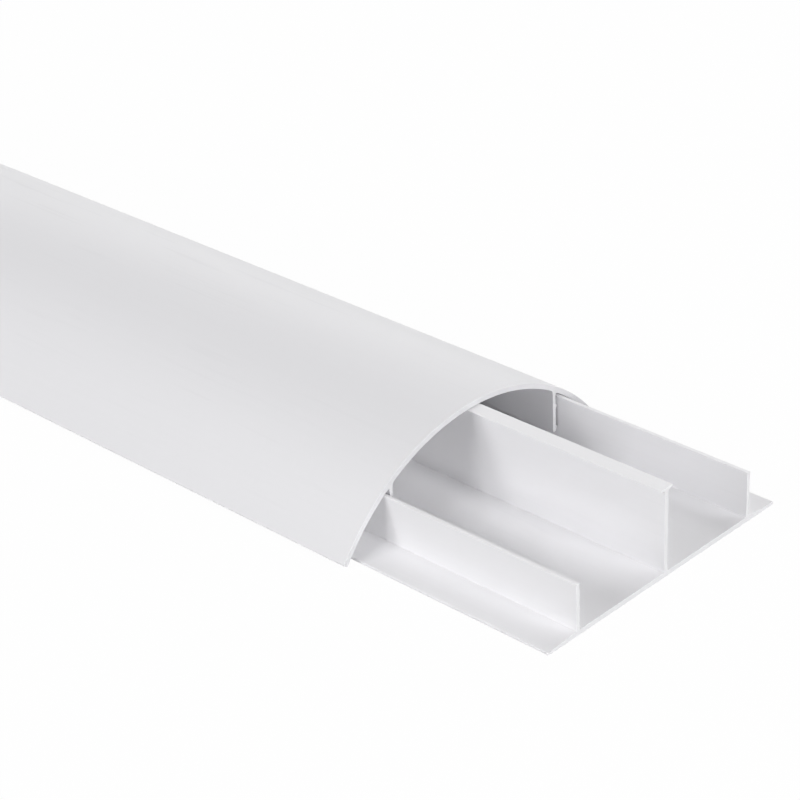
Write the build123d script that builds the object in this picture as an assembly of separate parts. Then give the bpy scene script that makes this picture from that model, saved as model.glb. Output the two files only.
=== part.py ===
from build123d import *
import math
import os

# Floor cord cover of two plastic extrusions: a flat base with two side walls and a
# taller divider, and an arched cover whose legs clip inside the walls. X runs along
# the length, Z is up, and the origin is the centre of the base's underside.

# Driving dimensions in millimetres: the whole
LENGTH = 1000.0            # both extrusions are sawn to this length
REVEAL = 47.7              # how far the cover is drawn back from the base's front end
HEIGHT = 20.8              # floor to the top of the crown

# The base
BASE_WIDTH = 67.6          # long edge to long edge
PLATE = 1.1                # thickness of the plate
PLATE_EDGE = 0.6           # thickness left at the long edges, where the flanges taper out
PLATE_ROUND = 0.2          # rounding of the long edges
WALL_SPAN = 51.6           # over the outer faces of the two walls
WALL = 0.85                # thickness of a wall
WALL_ROUND = 0.12          # rounding of a wall's top edges
STEM = 1.0                 # thickness of the divider
HEAD_WIDTH = 3.6           # flat top of the divider, which carries the crown
HEAD_TIP = 0.2             # thickness of the head at its two edges
HEAD_HAUNCH = 0.5          # height of the slope under each side of the head
FOOT_FILLET = 0.15         # feet of the walls and the divider, and the neck under its head

# The cover
COVER_WALL = 1.15          # thickness of the arch
RIM_GAP = 2.8              # from the base's edge to the inner corner of a rim
RIM_LIFT = 0.3             # from the floor to that corner
RIM_ROUND = 0.2            # rounding of the rim's corners
LEG = 0.85                 # thickness of a clip leg
LEG_FOOT_GAP = 2.2         # from the plate to the foot of a leg
LEG_ROOT_FILLET = 1.0      # where a leg's channel side meets the arch
LEG_BACK_FILLET = 0.4      # where its other side does
FOOT_ROUND = 0.3           # rounding of a leg's foot

# The clip: a barb and a guide rib along each leg stand towards the wall
CATCH = 0.4                # how far the barb and the guide rib stand out
BARB_HEIGHT = 1.15         # foot of the leg to the top of the barb
BARB_EDGE = 0.25           # upright edge of the barb
GUIDE_DROP = 2.0           # top of the wall to the middle of the guide rib

# Clearances
CLIP_CLEARANCE = 0.2       # barb and guide rib to wall
ARCH_CLEARANCE = 0.2       # arch to divider and to the top corners of the walls

# The arch: rings about a centre below the floor, ended square to the arc at the rims
CLEAR_HALF = BASE_WIDTH / 2 + RIM_GAP
ARCH_RISE = HEIGHT - COVER_WALL - RIM_LIFT
INNER_RADIUS = (CLEAR_HALF**2 + ARCH_RISE**2) / (2 * ARCH_RISE)
OUTER_RADIUS = INNER_RADIUS + COVER_WALL
ARCH_CENTRE = HEIGHT - OUTER_RADIUS
RIM_ANGLE = math.degrees(math.acos(CLEAR_HALF / INNER_RADIUS))


def ring_height(y, radius):
    """Height of a ring about the arch's centre at the distance y from the middle."""
    return ARCH_CENTRE + math.sqrt(radius**2 - y**2)


# Places that the two extrusions share
WALL_OUTER = WALL_SPAN / 2
WALL_INNER = WALL_OUTER - WALL
WALL_TOP = ring_height(WALL_OUTER, INNER_RADIUS - ARCH_CLEARANCE)
HEAD_TOP = ring_height(HEAD_WIDTH / 2, INNER_RADIUS - ARCH_CLEARANCE)
LEG_OUTER = WALL_INNER - CATCH - CLIP_CLEARANCE
LEG_INNER = LEG_OUTER - LEG
LEG_FOOT = PLATE + LEG_FOOT_GAP
BARB_TOP = LEG_FOOT + BARB_HEIGHT
GUIDE_MIDDLE = WALL_TOP - GUIDE_DROP


def rounded(sketch, radius, *points):
    """Rounds the corners of a section that lie at the given points."""
    corners = [sketch.vertices().sort_by_distance(Vector(*point))[0] for point in points]
    return fillet(corners, radius)


def outline(*points):
    """A closed straight-sided area of the section."""
    return make_face(Polyline(*points, close=True))


def whole(half):
    """A section from its half on the side of +Y."""
    return half + mirror(half, about=Plane.YZ)


def extruded(section, front):
    """The section run along X and sawn to length, with its front end at the given place."""
    return extrude(Plane.YZ.offset(front - LENGTH) * section, amount=LENGTH)


def base_section():
    edge = BASE_WIDTH / 2
    plate = outline((0, 0), (edge, 0), (edge, PLATE_EDGE), (WALL_OUTER, PLATE), (0, PLATE))
    wall = outline((WALL_INNER, 0), (WALL_OUTER, 0), (WALL_OUTER, WALL_TOP), (WALL_INNER, WALL_TOP))
    head_foot = HEAD_TOP - HEAD_TIP - HEAD_HAUNCH
    divider = outline(
        (0, 0),
        (STEM / 2, 0),
        (STEM / 2, head_foot),
        (HEAD_WIDTH / 2, HEAD_TOP - HEAD_TIP),
        (HEAD_WIDTH / 2, HEAD_TOP),
        (0, HEAD_TOP),
    )
    half = plate + wall + divider
    half = rounded(half, PLATE_ROUND, (edge, 0), (edge, PLATE_EDGE))
    half = rounded(half, FOOT_FILLET, (WALL_OUTER, PLATE), (WALL_INNER, PLATE))
    half = rounded(half, FOOT_FILLET, (STEM / 2, PLATE), (STEM / 2, head_foot))
    half = rounded(half, WALL_ROUND, (WALL_INNER, WALL_TOP), (WALL_OUTER, WALL_TOP))
    return whole(half)


def cover_section():
    centre = (0, ARCH_CENTRE)
    outer = CenterArc(centre, OUTER_RADIUS, RIM_ANGLE, 90 - RIM_ANGLE)
    inner = CenterArc(centre, INNER_RADIUS, RIM_ANGLE, 90 - RIM_ANGLE)
    rim_corners = (outer @ 0, inner @ 0)
    arch = make_face([outer, Line(outer @ 1, inner @ 1), inner, Line(inner @ 0, outer @ 0)])
    arch = rounded(arch, RIM_ROUND, *rim_corners)

    middle_radius = INNER_RADIUS + COVER_WALL / 2
    leg = outline(
        (LEG_INNER, LEG_FOOT),
        (LEG_OUTER, LEG_FOOT),
        (LEG_OUTER + CATCH, BARB_TOP - BARB_EDGE),
        (LEG_OUTER + CATCH, BARB_TOP),
        (LEG_OUTER, BARB_TOP),
        (LEG_OUTER, ring_height(LEG_OUTER, middle_radius)),
        (LEG_INNER, ring_height(LEG_INNER, middle_radius)),
    )
    leg = rounded(leg, FOOT_ROUND, (LEG_INNER, LEG_FOOT), (LEG_OUTER, LEG_FOOT))
    guide = Pos(LEG_OUTER, GUIDE_MIDDLE) * Circle(CATCH)
    half = arch + leg + guide
    half = rounded(half, LEG_ROOT_FILLET, (LEG_INNER, ring_height(LEG_INNER, INNER_RADIUS)))
    half = rounded(half, LEG_BACK_FILLET, (LEG_OUTER, ring_height(LEG_OUTER, INNER_RADIUS)))
    return whole(half)


parts = {
    "base": extruded(base_section(), LENGTH / 2),
    "cover": extruded(cover_section(), LENGTH / 2 - REVEAL),
}

os.makedirs("parts", exist_ok=True)
for name, part in parts.items():
    export_step(part, f"parts/{name}.step")
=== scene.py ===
import math

import bmesh
import bpy
from mathutils import Matrix, Vector


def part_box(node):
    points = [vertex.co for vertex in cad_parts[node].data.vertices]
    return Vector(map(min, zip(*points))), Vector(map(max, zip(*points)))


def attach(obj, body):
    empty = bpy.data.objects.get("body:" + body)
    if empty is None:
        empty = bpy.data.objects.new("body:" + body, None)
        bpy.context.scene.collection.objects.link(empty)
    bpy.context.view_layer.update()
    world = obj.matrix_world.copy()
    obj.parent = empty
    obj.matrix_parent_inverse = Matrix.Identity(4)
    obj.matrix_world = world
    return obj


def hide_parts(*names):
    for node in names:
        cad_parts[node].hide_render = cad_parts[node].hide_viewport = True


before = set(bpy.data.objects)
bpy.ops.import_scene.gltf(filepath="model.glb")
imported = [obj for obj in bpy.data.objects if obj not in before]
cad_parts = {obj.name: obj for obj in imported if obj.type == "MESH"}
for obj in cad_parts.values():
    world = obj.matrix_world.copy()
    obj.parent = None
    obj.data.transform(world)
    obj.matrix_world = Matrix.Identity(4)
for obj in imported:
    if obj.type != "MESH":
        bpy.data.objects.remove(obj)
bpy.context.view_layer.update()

MM = 0.001

# The base's section, as its solid has it
PLATE = 1.1 * MM
PLATE_EDGE = 0.6 * MM
PLATE_ROUND = 0.2 * MM
WALL_OUTER = 25.8 * MM
WALL = 0.85 * MM
WALL_ROUND = 0.12 * MM
STEM = 1.0 * MM
HEAD_WIDTH = 3.6 * MM
HEAD_TIP = 0.2 * MM
HEAD_HAUNCH = 0.5 * MM
FOOT_FILLET = 0.15 * MM

# The cover's section
HEIGHT = 20.8 * MM
COVER_WALL = 1.15 * MM
RIM_GAP = 2.8 * MM
RIM_LIFT = 0.3 * MM
RIM_ROUND = 0.2 * MM
LEG = 0.85 * MM
LEG_FOOT_GAP = 2.2 * MM
LEG_ROOT_FILLET = 1.0 * MM
LEG_BACK_FILLET = 0.4 * MM
FOOT_ROUND = 0.3 * MM

# The clip and its clearances
CATCH = 0.4 * MM
BARB_HEIGHT = 1.15 * MM
BARB_EDGE = 0.25 * MM
GUIDE_DROP = 2.0 * MM
CLIP_CLEARANCE = 0.2 * MM
ARCH_CLEARANCE = 0.2 * MM

# Rounds that the die leaves on its sharpest corners, and the saw on the cut edges
DIE_ROUND = 0.08 * MM
SAWN_EDGE = 0.06 * MM

# Fineness of the modelled pieces
RIM_STEPS = 12             # arch, from a rim to a leg
CROWN_STEPS = 24           # arch, from a leg to the crown
GUIDE_STEPS = 6            # quarter of a guide rib
CORNER_STEPS = 5           # a rounded corner
SAWN_STEPS = 2             # a sawn edge
SMOOTH_ANGLE = math.radians(32)
SAME_PLACE = 0.001 * MM    # corners closer than this are one
END_FACING = 0.99          # how squarely a sawn end faces along X
FLATS_FIRST = 100          # weight of a large face's normal over its small neighbours'

# The plastic, white with a trace of blue
BASE_COLOUR = (0.843, 0.839, 0.857)
# base ends: darker than the base's skin, which is painted shade on the sawn ends and not a darker
# plastic
BASE_END_SHADED = (0.79, 0.787, 0.805)
# cover: set darker than the base as painted shade, since both are the same white plastic
COVER_SHADED_COLOUR = (0.776, 0.773, 0.792)
# cover ends: darker than the cover's skin, which is painted shade on the sawn ends and not a darker
# plastic
COVER_END_SHADED = (0.69, 0.687, 0.704)
PLASTIC_IOR = 1.53
BUMP = 0.1
BUMP_DEPTH = 0.05 * MM

# The skin: its marks in waves a metre along X, Y and Z, and what they do to it
SATIN = 0.33               # roughness
DIE_LINES = (1.5, 1400, 1400)
CLOUDS = (12, 60, 60)
RUBS = (30, 700, 700)
TEARS = (900, 900, 900)
RUBBED_FROM = (0.6, 0.72)  # levels of the noise where a rub starts and is full
TORN_FROM = (0.35, 0.6)    # and a tear
TORN_EDGE = 0.3 * MM       # how far the saw whitened the skin from a sawn end
SKIN_SPREAD = 0.015        # how far the shade goes either way
RUBBED_SHADE = 0.96
TORN_SHADE = 1.03

# The sawn ends
DULL = 0.45                # roughness
GRAIN = (2000, 2000, 2000)
FROM_BLADE = (0, 40 * MM, 110 * MM)  # from the middle of the saw blade
BLADE_ARCS = 900           # fineness of the saw's arcs, about three to a millimetre
ARC_WOBBLE = 3.0
ENDS_SPREAD = 0.03         # how far the shade goes either way

# Camera, at the photograph's viewing angle
LENS = 110.16              # millimetres
SENSOR = 36                # millimetres
CLIP_NEAR = 0.01
CLIP_FAR = 100
AZIMUTH = -45.053          # degrees; 0 faces the sawn end
ELEVATION = 28.974         # degrees
ROLL = 2.673               # degrees
DISTANCE = 522.35 * MM
LOOK_BACK = 85.67 * MM     # from the base's front end to the point looked at
LOOK_ASIDE = 17.62 * MM

# Studio: soft boxes by elevation and azimuth in degrees, width in metres, and watts
LAMPS = {
    "front": (34, 0, 1.2, 76),
    "front_low": (14, 330, 1.2, 65),
    "near_side": (34, 270, 1.2, 36),
    "near_low": (14, 255, 1.2, 32),
    "near_back": (48, 240, 1.2, 17),
    "far_side": (48, 120, 1.2, 21),
    "far_low": (8, 90, 2.4, 60),
    "far_back_low": (8, 120, 2.4, 17.5),
    "far_back": (16, 150, 2.4, 13),
}
LAMP_DISTANCE = 4.0
LAMP_MIDDLE = 0.3          # along X
FLOOR_SIZE = 40
WHITE = (1, 1, 1)
PAPER_BOUNCE = 0.5         # how much light the floor throws back on the piece
PAPER_SEEN = 0.9           # its shade where it is looked at
PAPER_GLOW = 0.975         # share of plain white there, which leaves the shadow faint

# The arch: rings about a centre below the floor, ended square to the arc at the rims
base_low, base_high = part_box("base")
cover_low, cover_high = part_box("cover")
BASE_EDGE = base_high.y
CLEAR_HALF = BASE_EDGE + RIM_GAP
ARCH_RISE = HEIGHT - COVER_WALL - RIM_LIFT
INNER_RADIUS = (CLEAR_HALF**2 + ARCH_RISE**2) / (2 * ARCH_RISE)
OUTER_RADIUS = INNER_RADIUS + COVER_WALL
ARCH_CENTRE = HEIGHT - OUTER_RADIUS


def ring_height(y, radius):
    """Height of a ring about the arch's centre at the distance y from the middle."""
    return ARCH_CENTRE + math.sqrt(radius**2 - y**2)


WALL_INNER = WALL_OUTER - WALL
WALL_TOP = ring_height(WALL_OUTER, INNER_RADIUS - ARCH_CLEARANCE)
HEAD_TOP = ring_height(HEAD_WIDTH / 2, INNER_RADIUS - ARCH_CLEARANCE)
HEAD_FOOT = HEAD_TOP - HEAD_TIP - HEAD_HAUNCH
LEG_OUTER = WALL_INNER - CATCH - CLIP_CLEARANCE
LEG_INNER = LEG_OUTER - LEG
LEG_FOOT = PLATE + LEG_FOOT_GAP
BARB_TOP = LEG_FOOT + BARB_HEIGHT
GUIDE_MIDDLE = WALL_TOP - GUIDE_DROP


class Section:
    """Half of an extrusion's section, drawn by extruding a vertex from corner to corner."""

    def __init__(self, name, y, z):
        bpy.ops.object.select_all(action="DESELECT")
        bpy.ops.mesh.primitive_plane_add(size=MM)
        self.piece = bpy.context.object
        self.piece.name = name
        self.piece.data.name = name
        bpy.ops.object.mode_set(mode="EDIT")
        bpy.ops.mesh.select_mode(type="VERT")
        bpy.ops.mesh.merge(type="CENTER")
        bpy.ops.transform.translate(value=(0, y, z))
        self.corner = Vector((y, z))

    def line(self, y, z):
        """A straight stretch."""
        step = Vector((y, z)) - self.corner
        bpy.ops.mesh.extrude_region_move(TRANSFORM_OT_translate={"value": (0, step.x, step.y)})
        self.corner = Vector((y, z))

    def arc(self, centre, y, z, steps):
        """A round stretch about a centre, the short way."""
        middle = Vector(centre)
        turn = (self.corner - middle).angle_signed(Vector((y, z)) - middle)
        bpy.ops.mesh.spin(steps=steps, angle=turn, center=(0, *centre), axis=(1, 0, 0))
        self.corner = Vector((y, z))

    def fill(self):
        """Joins the last corner to the first and fills the outline."""
        bpy.ops.mesh.select_all(action="SELECT")
        bpy.ops.mesh.remove_doubles(threshold=SAME_PLACE)
        bpy.ops.mesh.edge_face_add()

    def soften(self, radius, *corners):
        """Rounds corners of the filled outline."""
        for y, z in corners:
            bpy.ops.mesh.select_all(action="DESELECT")
            mesh = bmesh.from_edit_mesh(self.piece.data)
            vertex = min(mesh.verts, key=lambda vert: (vert.co.yz - Vector((y, z))).length)
            vertex.select_set(True)
            mesh.select_flush_mode()
            sides = [edge.other_vert(vertex).co - vertex.co for edge in vertex.link_edges]
            reach = radius / math.tan(sides[0].angle(sides[1]) / 2)
            bmesh.update_edit_mesh(self.piece.data)
            bpy.ops.mesh.bevel(offset=reach, segments=CORNER_STEPS, affect="VERTICES")

    def extrude(self, back, front):
        """Mirrors the half, runs the section along X and breaks the edges of its sawn ends."""
        bpy.ops.object.mode_set(mode="OBJECT")
        other_half = self.piece.modifiers.new("other_half", "MIRROR")
        other_half.use_axis = (False, True, False)
        other_half.merge_threshold = SAME_PLACE
        bpy.ops.object.modifier_apply(modifier=other_half.name)

        bpy.ops.object.mode_set(mode="EDIT")
        bpy.ops.mesh.select_all(action="SELECT")
        bpy.ops.transform.translate(value=(back, 0, 0))
        bpy.ops.mesh.extrude_region_move(TRANSFORM_OT_translate={"value": (front - back, 0, 0)})
        bpy.ops.mesh.select_all(action="SELECT")
        bpy.ops.mesh.normals_make_consistent(inside=False)

        bpy.ops.mesh.select_mode(type="EDGE")
        bpy.ops.mesh.select_all(action="DESELECT")
        mesh = bmesh.from_edit_mesh(self.piece.data)
        mesh.normal_update()
        for edge in mesh.edges:
            ends = [abs(face.normal.x) > END_FACING for face in edge.link_faces]
            edge.select_set(any(ends) and not all(ends))
        bmesh.update_edit_mesh(self.piece.data)
        bpy.ops.mesh.bevel(offset=SAWN_EDGE, segments=SAWN_STEPS, affect="EDGES", clamp_overlap=False)

        bpy.ops.object.mode_set(mode="OBJECT")
        bpy.ops.object.shade_smooth_by_angle(angle=SMOOTH_ANGLE)
        flats = self.piece.modifiers.new("flats", "WEIGHTED_NORMAL")
        flats.weight = FLATS_FIRST
        flats.keep_sharp = True
        bpy.ops.object.modifier_apply(modifier=flats.name)
        return self.piece


def make_base():
    """Flat plate with two walls and the taller divider that carries the crown."""
    section = Section("base_extrusion", 0, 0)
    section.line(BASE_EDGE, 0)
    section.line(BASE_EDGE, PLATE_EDGE)
    section.line(WALL_OUTER, PLATE)
    section.line(WALL_OUTER, WALL_TOP)
    section.line(WALL_INNER, WALL_TOP)
    section.line(WALL_INNER, PLATE)
    section.line(STEM / 2, PLATE)
    section.line(STEM / 2, HEAD_FOOT)
    section.line(HEAD_WIDTH / 2, HEAD_TOP - HEAD_TIP)
    section.line(HEAD_WIDTH / 2, HEAD_TOP)
    section.line(0, HEAD_TOP)
    section.line(0, 0)
    section.fill()
    section.soften(PLATE_ROUND, (BASE_EDGE, 0), (BASE_EDGE, PLATE_EDGE))
    section.soften(FOOT_FILLET, (WALL_OUTER, PLATE), (WALL_INNER, PLATE))
    section.soften(FOOT_FILLET, (STEM / 2, PLATE), (STEM / 2, HEAD_FOOT))
    section.soften(WALL_ROUND, (WALL_OUTER, WALL_TOP), (WALL_INNER, WALL_TOP))
    section.soften(DIE_ROUND, (HEAD_WIDTH / 2, HEAD_TOP), (HEAD_WIDTH / 2, HEAD_TOP - HEAD_TIP))
    return section.extrude(base_low.x, base_high.x)


def make_cover():
    """Arch with two barbed clip legs."""
    centre = (0, ARCH_CENTRE)
    rim = math.acos(CLEAR_HALF / INNER_RADIUS)
    outer_rim = (OUTER_RADIUS * math.cos(rim), ARCH_CENTRE + OUTER_RADIUS * math.sin(rim))
    inner_rim = (CLEAR_HALF, ring_height(CLEAR_HALF, INNER_RADIUS))
    leg_back = (LEG_OUTER, ring_height(LEG_OUTER, INNER_RADIUS))
    leg_root = (LEG_INNER, ring_height(LEG_INNER, INNER_RADIUS))
    guide = (LEG_OUTER, GUIDE_MIDDLE)
    section = Section("cover_extrusion", 0, HEIGHT)
    section.arc(centre, *outer_rim, CROWN_STEPS + RIM_STEPS)
    section.line(*inner_rim)
    section.arc(centre, *leg_back, RIM_STEPS)
    section.line(LEG_OUTER, GUIDE_MIDDLE + CATCH)
    section.arc(guide, LEG_OUTER + CATCH, GUIDE_MIDDLE, GUIDE_STEPS)
    section.arc(guide, LEG_OUTER, GUIDE_MIDDLE - CATCH, GUIDE_STEPS)
    section.line(LEG_OUTER, BARB_TOP)
    section.line(LEG_OUTER + CATCH, BARB_TOP)
    section.line(LEG_OUTER + CATCH, BARB_TOP - BARB_EDGE)
    section.line(LEG_OUTER, LEG_FOOT)
    section.line(LEG_INNER, LEG_FOOT)
    section.line(*leg_root)
    section.arc(centre, 0, ARCH_CENTRE + INNER_RADIUS, CROWN_STEPS)
    section.line(0, HEIGHT)
    section.fill()
    section.soften(RIM_ROUND, outer_rim, inner_rim)
    section.soften(LEG_BACK_FILLET, leg_back)
    section.soften(LEG_ROOT_FILLET, leg_root)
    section.soften(FOOT_ROUND, (LEG_INNER, LEG_FOOT), (LEG_OUTER, LEG_FOOT))
    section.soften(DIE_ROUND, (LEG_OUTER + CATCH, BARB_TOP))
    return section.extrude(cover_low.x, cover_high.x)


class Value:
    """A number or colour that a node gives: arithmetic on it adds Math nodes."""

    def __init__(self, nodes, socket):
        self.nodes = nodes
        self.socket = socket

    def maths(self, operation, first, second):
        return self.nodes.add("Math", {"operation": operation}, {0: first, 1: second})

    def __add__(self, other):
        return self.maths("ADD", self, other)

    def __radd__(self, other):
        return self.maths("ADD", other, self)

    def __sub__(self, other):
        return self.maths("SUBTRACT", self, other)

    def __rsub__(self, other):
        return self.maths("SUBTRACT", other, self)

    def __mul__(self, other):
        return self.maths("MULTIPLY", self, other)

    def __rmul__(self, other):
        return self.maths("MULTIPLY", other, self)

    def larger(self, other):
        return self.maths("MAXIMUM", self, other)

    def smaller(self, other):
        return self.maths("MINIMUM", self, other)


class Nodes:
    """The nodes of one material, or of the world."""

    def __init__(self, owner):
        owner.use_nodes = True
        self.tree = owner.node_tree

    def put(self, socket, value):
        if isinstance(value, Value):
            self.tree.links.new(value.socket, socket)
        else:
            socket.default_value = value

    def add(self, kind, settings, sockets, output=0):
        """A node, by its kind, its settings, its sockets' values or links and the output used."""
        node = self.tree.nodes.new("ShaderNode" + kind)
        for name, value in settings.items():
            setattr(node, name, value)
        for name, value in sockets.items():
            self.put(node.inputs[name], value)
        return Value(self, node.outputs[output])

    def place(self):
        """The piece's own coordinates."""
        return self.add("TexCoord", {}, {}, "Object")

    def noise(self, across, detail):
        """Noise with so many waves a metre along X, Y and Z."""
        place = self.add("Mapping", {}, {"Vector": self.place(), "Scale": across})
        return self.add("TexNoise", {}, {"Vector": place, "Scale": 1.0, "Detail": detail})

    def step(self, value, low, high):
        """0 up to a low value, 1 from a high one and a soft step between them."""
        limits = {"Value": value, "From Min": low, "From Max": high}
        return self.add("MapRange", {"interpolation_type": "SMOOTHSTEP"}, limits)

    def blend(self, share, first, second):
        """A colour between two others."""
        sockets = {"Factor": share, "A": first, "B": second}
        return self.add("Mix", {"data_type": "RGBA"}, sockets, "Result")


def tinted(colour, strength):
    """A colour made lighter or darker."""
    return tuple(min(1, channel * strength) for channel in colour) + (1,)


def plastic(nodes, shade, roughness, relief):
    """The plastic's shader, from what varies over it."""
    shader = nodes.tree.nodes["Principled BSDF"]
    shader.inputs["IOR"].default_value = PLASTIC_IOR
    nodes.put(shader.inputs["Base Color"], shade)
    nodes.put(shader.inputs["Roughness"], roughness)
    bump = nodes.add("Bump", {}, {"Strength": BUMP, "Distance": BUMP_DEPTH, "Height": relief})
    nodes.put(shader.inputs["Normal"], bump)


def skin(name, colour, back, front):
    """As the die leaves it: satin, with faint lines, rubbed streaks and whitened sawn edges."""
    material = bpy.data.materials.new(name)
    nodes = Nodes(material)
    die_lines = nodes.noise(DIE_LINES, detail=3)
    clouds = nodes.noise(CLOUDS, detail=2)
    rubbed = nodes.step(nodes.noise(RUBS, detail=2), *RUBBED_FROM) * clouds
    along = nodes.add("SeparateXYZ", {}, {"Vector": nodes.place()}, "X")
    from_end = (along - back).smaller(front - along)
    by_end = 1 - nodes.step(from_end, 0, TORN_EDGE)
    torn = nodes.step(nodes.noise(TEARS, detail=3), *TORN_FROM) * by_end
    mottle = 0.5 * die_lines + 0.5 * clouds
    shade = nodes.blend(mottle, tinted(colour, 1 - SKIN_SPREAD), tinted(colour, 1 + SKIN_SPREAD))
    shade = nodes.blend(0.5 * rubbed, shade, tinted(colour, RUBBED_SHADE))
    shade = nodes.blend(torn, shade, tinted(colour, TORN_SHADE))
    roughness = SATIN + 0.1 * die_lines + 0.05 * clouds + 0.2 * rubbed + 0.2 * torn
    plastic(nodes, shade, roughness, 0.5 * die_lines - 0.5 * rubbed + torn)
    return material


def sawn(name, colour):
    """Where the saw cut it: dull, with the blade's arcs and a fine grain."""
    material = bpy.data.materials.new(name)
    nodes = Nodes(material)
    about_blade = nodes.add("Mapping", {}, {"Vector": nodes.place(), "Location": FROM_BLADE})
    rings = {"wave_type": "RINGS", "rings_direction": "X"}
    drawn = {"Vector": about_blade, "Scale": BLADE_ARCS, "Distortion": ARC_WOBBLE, "Detail": 2.0}
    arcs = nodes.add("TexWave", rings, drawn, "Fac")
    marks = 0.5 * arcs + 0.5 * nodes.noise(GRAIN, detail=3)
    shade = nodes.blend(marks, tinted(colour, 1 - ENDS_SPREAD), tinted(colour, 1 + ENDS_SPREAD))
    plastic(nodes, shade, DULL + 0.25 * marks, marks)
    return material


def dress(piece, along, ends):
    """Gives a piece its skin, and its sawn ends theirs."""
    piece.data.materials.append(along)
    piece.data.materials.append(ends)
    for face in piece.data.polygons:
        face.material_index = 1 if abs(face.normal.x) > END_FACING else 0


base = make_base()
base_skin = skin("base_skin", BASE_COLOUR, base_low.x, base_high.x)
dress(base, base_skin, sawn("base_ends", BASE_END_SHADED))
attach(base, "base")
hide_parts("base")

cover = make_cover()
cover_skin = skin("cover_skin", COVER_SHADED_COLOUR, cover_low.x, cover_high.x)
dress(cover, cover_skin, sawn("cover_ends", COVER_END_SHADED))
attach(cover, "cover")
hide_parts("cover")


def seen_directly(nodes):
    """1 where a surface is looked at, straight or mirrored, and 0 where it only lights others."""
    ways = ("Camera", "Glossy", "Transmission")
    rays = [nodes.add("LightPath", {}, {}, f"Is {way} Ray") for way in ways]
    return rays[0].larger(rays[1]).larger(rays[2])


def make_floor():
    """White paper that keeps a little of the shadow."""
    bpy.ops.object.select_all(action="DESELECT")
    bpy.ops.mesh.primitive_plane_add(size=FLOOR_SIZE)
    floor = bpy.context.object
    floor.name = "floor"
    paper = bpy.data.materials.new("white_paper")
    nodes = Nodes(paper)
    bounce = nodes.add("BsdfDiffuse", {}, {"Color": tinted(WHITE, PAPER_BOUNCE)})
    shaded = nodes.add("BsdfDiffuse", {}, {"Color": tinted(WHITE, PAPER_SEEN)})
    white = nodes.add("Emission", {}, {"Strength": 1.0})
    seen = nodes.add("MixShader", {}, {0: PAPER_GLOW, 1: shaded, 2: white})
    sheet = nodes.add("MixShader", {}, {0: seen_directly(nodes), 1: bounce, 2: seen})
    nodes.put(paper.node_tree.nodes["Material Output"].inputs["Surface"], sheet)
    floor.data.materials.append(paper)


def make_backdrop():
    """White all round where it is looked at; the lamps give the light."""
    world = bpy.data.worlds.new("white_studio")
    bpy.context.scene.world = world
    nodes = Nodes(world)
    shader = world.node_tree.nodes["Background"]
    shader.inputs["Color"].default_value = tinted(WHITE, 1)
    nodes.put(shader.inputs["Strength"], seen_directly(nodes))


def direction(elevation, azimuth):
    """Towards a place so many degrees above the floor and round from where the sawn end faces."""
    rise, turn = math.radians(elevation), math.radians(azimuth)
    level = math.cos(rise)
    return Vector((math.cos(turn) * level, math.sin(turn) * level, math.sin(rise)))


def make_lamps():
    """Soft boxes round the piece."""
    middle = Vector((LAMP_MIDDLE, 0, 0))
    for name, (elevation, azimuth, width, watts) in LAMPS.items():
        way = direction(elevation, azimuth)
        lamp = bpy.data.objects.new(name, bpy.data.lights.new(name, "AREA"))
        lamp.data.shape = "DISK"
        lamp.data.size = width
        lamp.data.energy = watts
        lamp.visible_camera = False
        facing = way.to_track_quat("Z", "Y").to_matrix().to_4x4()
        lamp.matrix_world = Matrix.Translation(middle + way * LAMP_DISTANCE) @ facing
        bpy.context.collection.objects.link(lamp)


def make_camera():
    """The photograph's camera."""
    target = Vector((base_high.x - LOOK_BACK, LOOK_ASIDE, 0))
    away = direction(ELEVATION, AZIMUTH)
    level = Vector((0, 0, 1)).cross(away).normalized()
    upright = Matrix((level, away.cross(level), away)).transposed()
    held = Matrix.Rotation(-math.radians(ROLL), 3, away) @ upright
    camera = bpy.data.objects.new("camera", bpy.data.cameras.new("camera"))
    bpy.context.collection.objects.link(camera)
    camera.data.lens = LENS
    camera.data.sensor_width = SENSOR
    camera.data.clip_start = CLIP_NEAR
    camera.data.clip_end = CLIP_FAR
    camera.matrix_world = Matrix.Translation(target + away * DISTANCE) @ held.to_4x4()
    bpy.context.scene.camera = camera


make_floor()
make_backdrop()
make_lamps()
make_camera()
bpy.context.scene.view_settings.view_transform = "Standard"
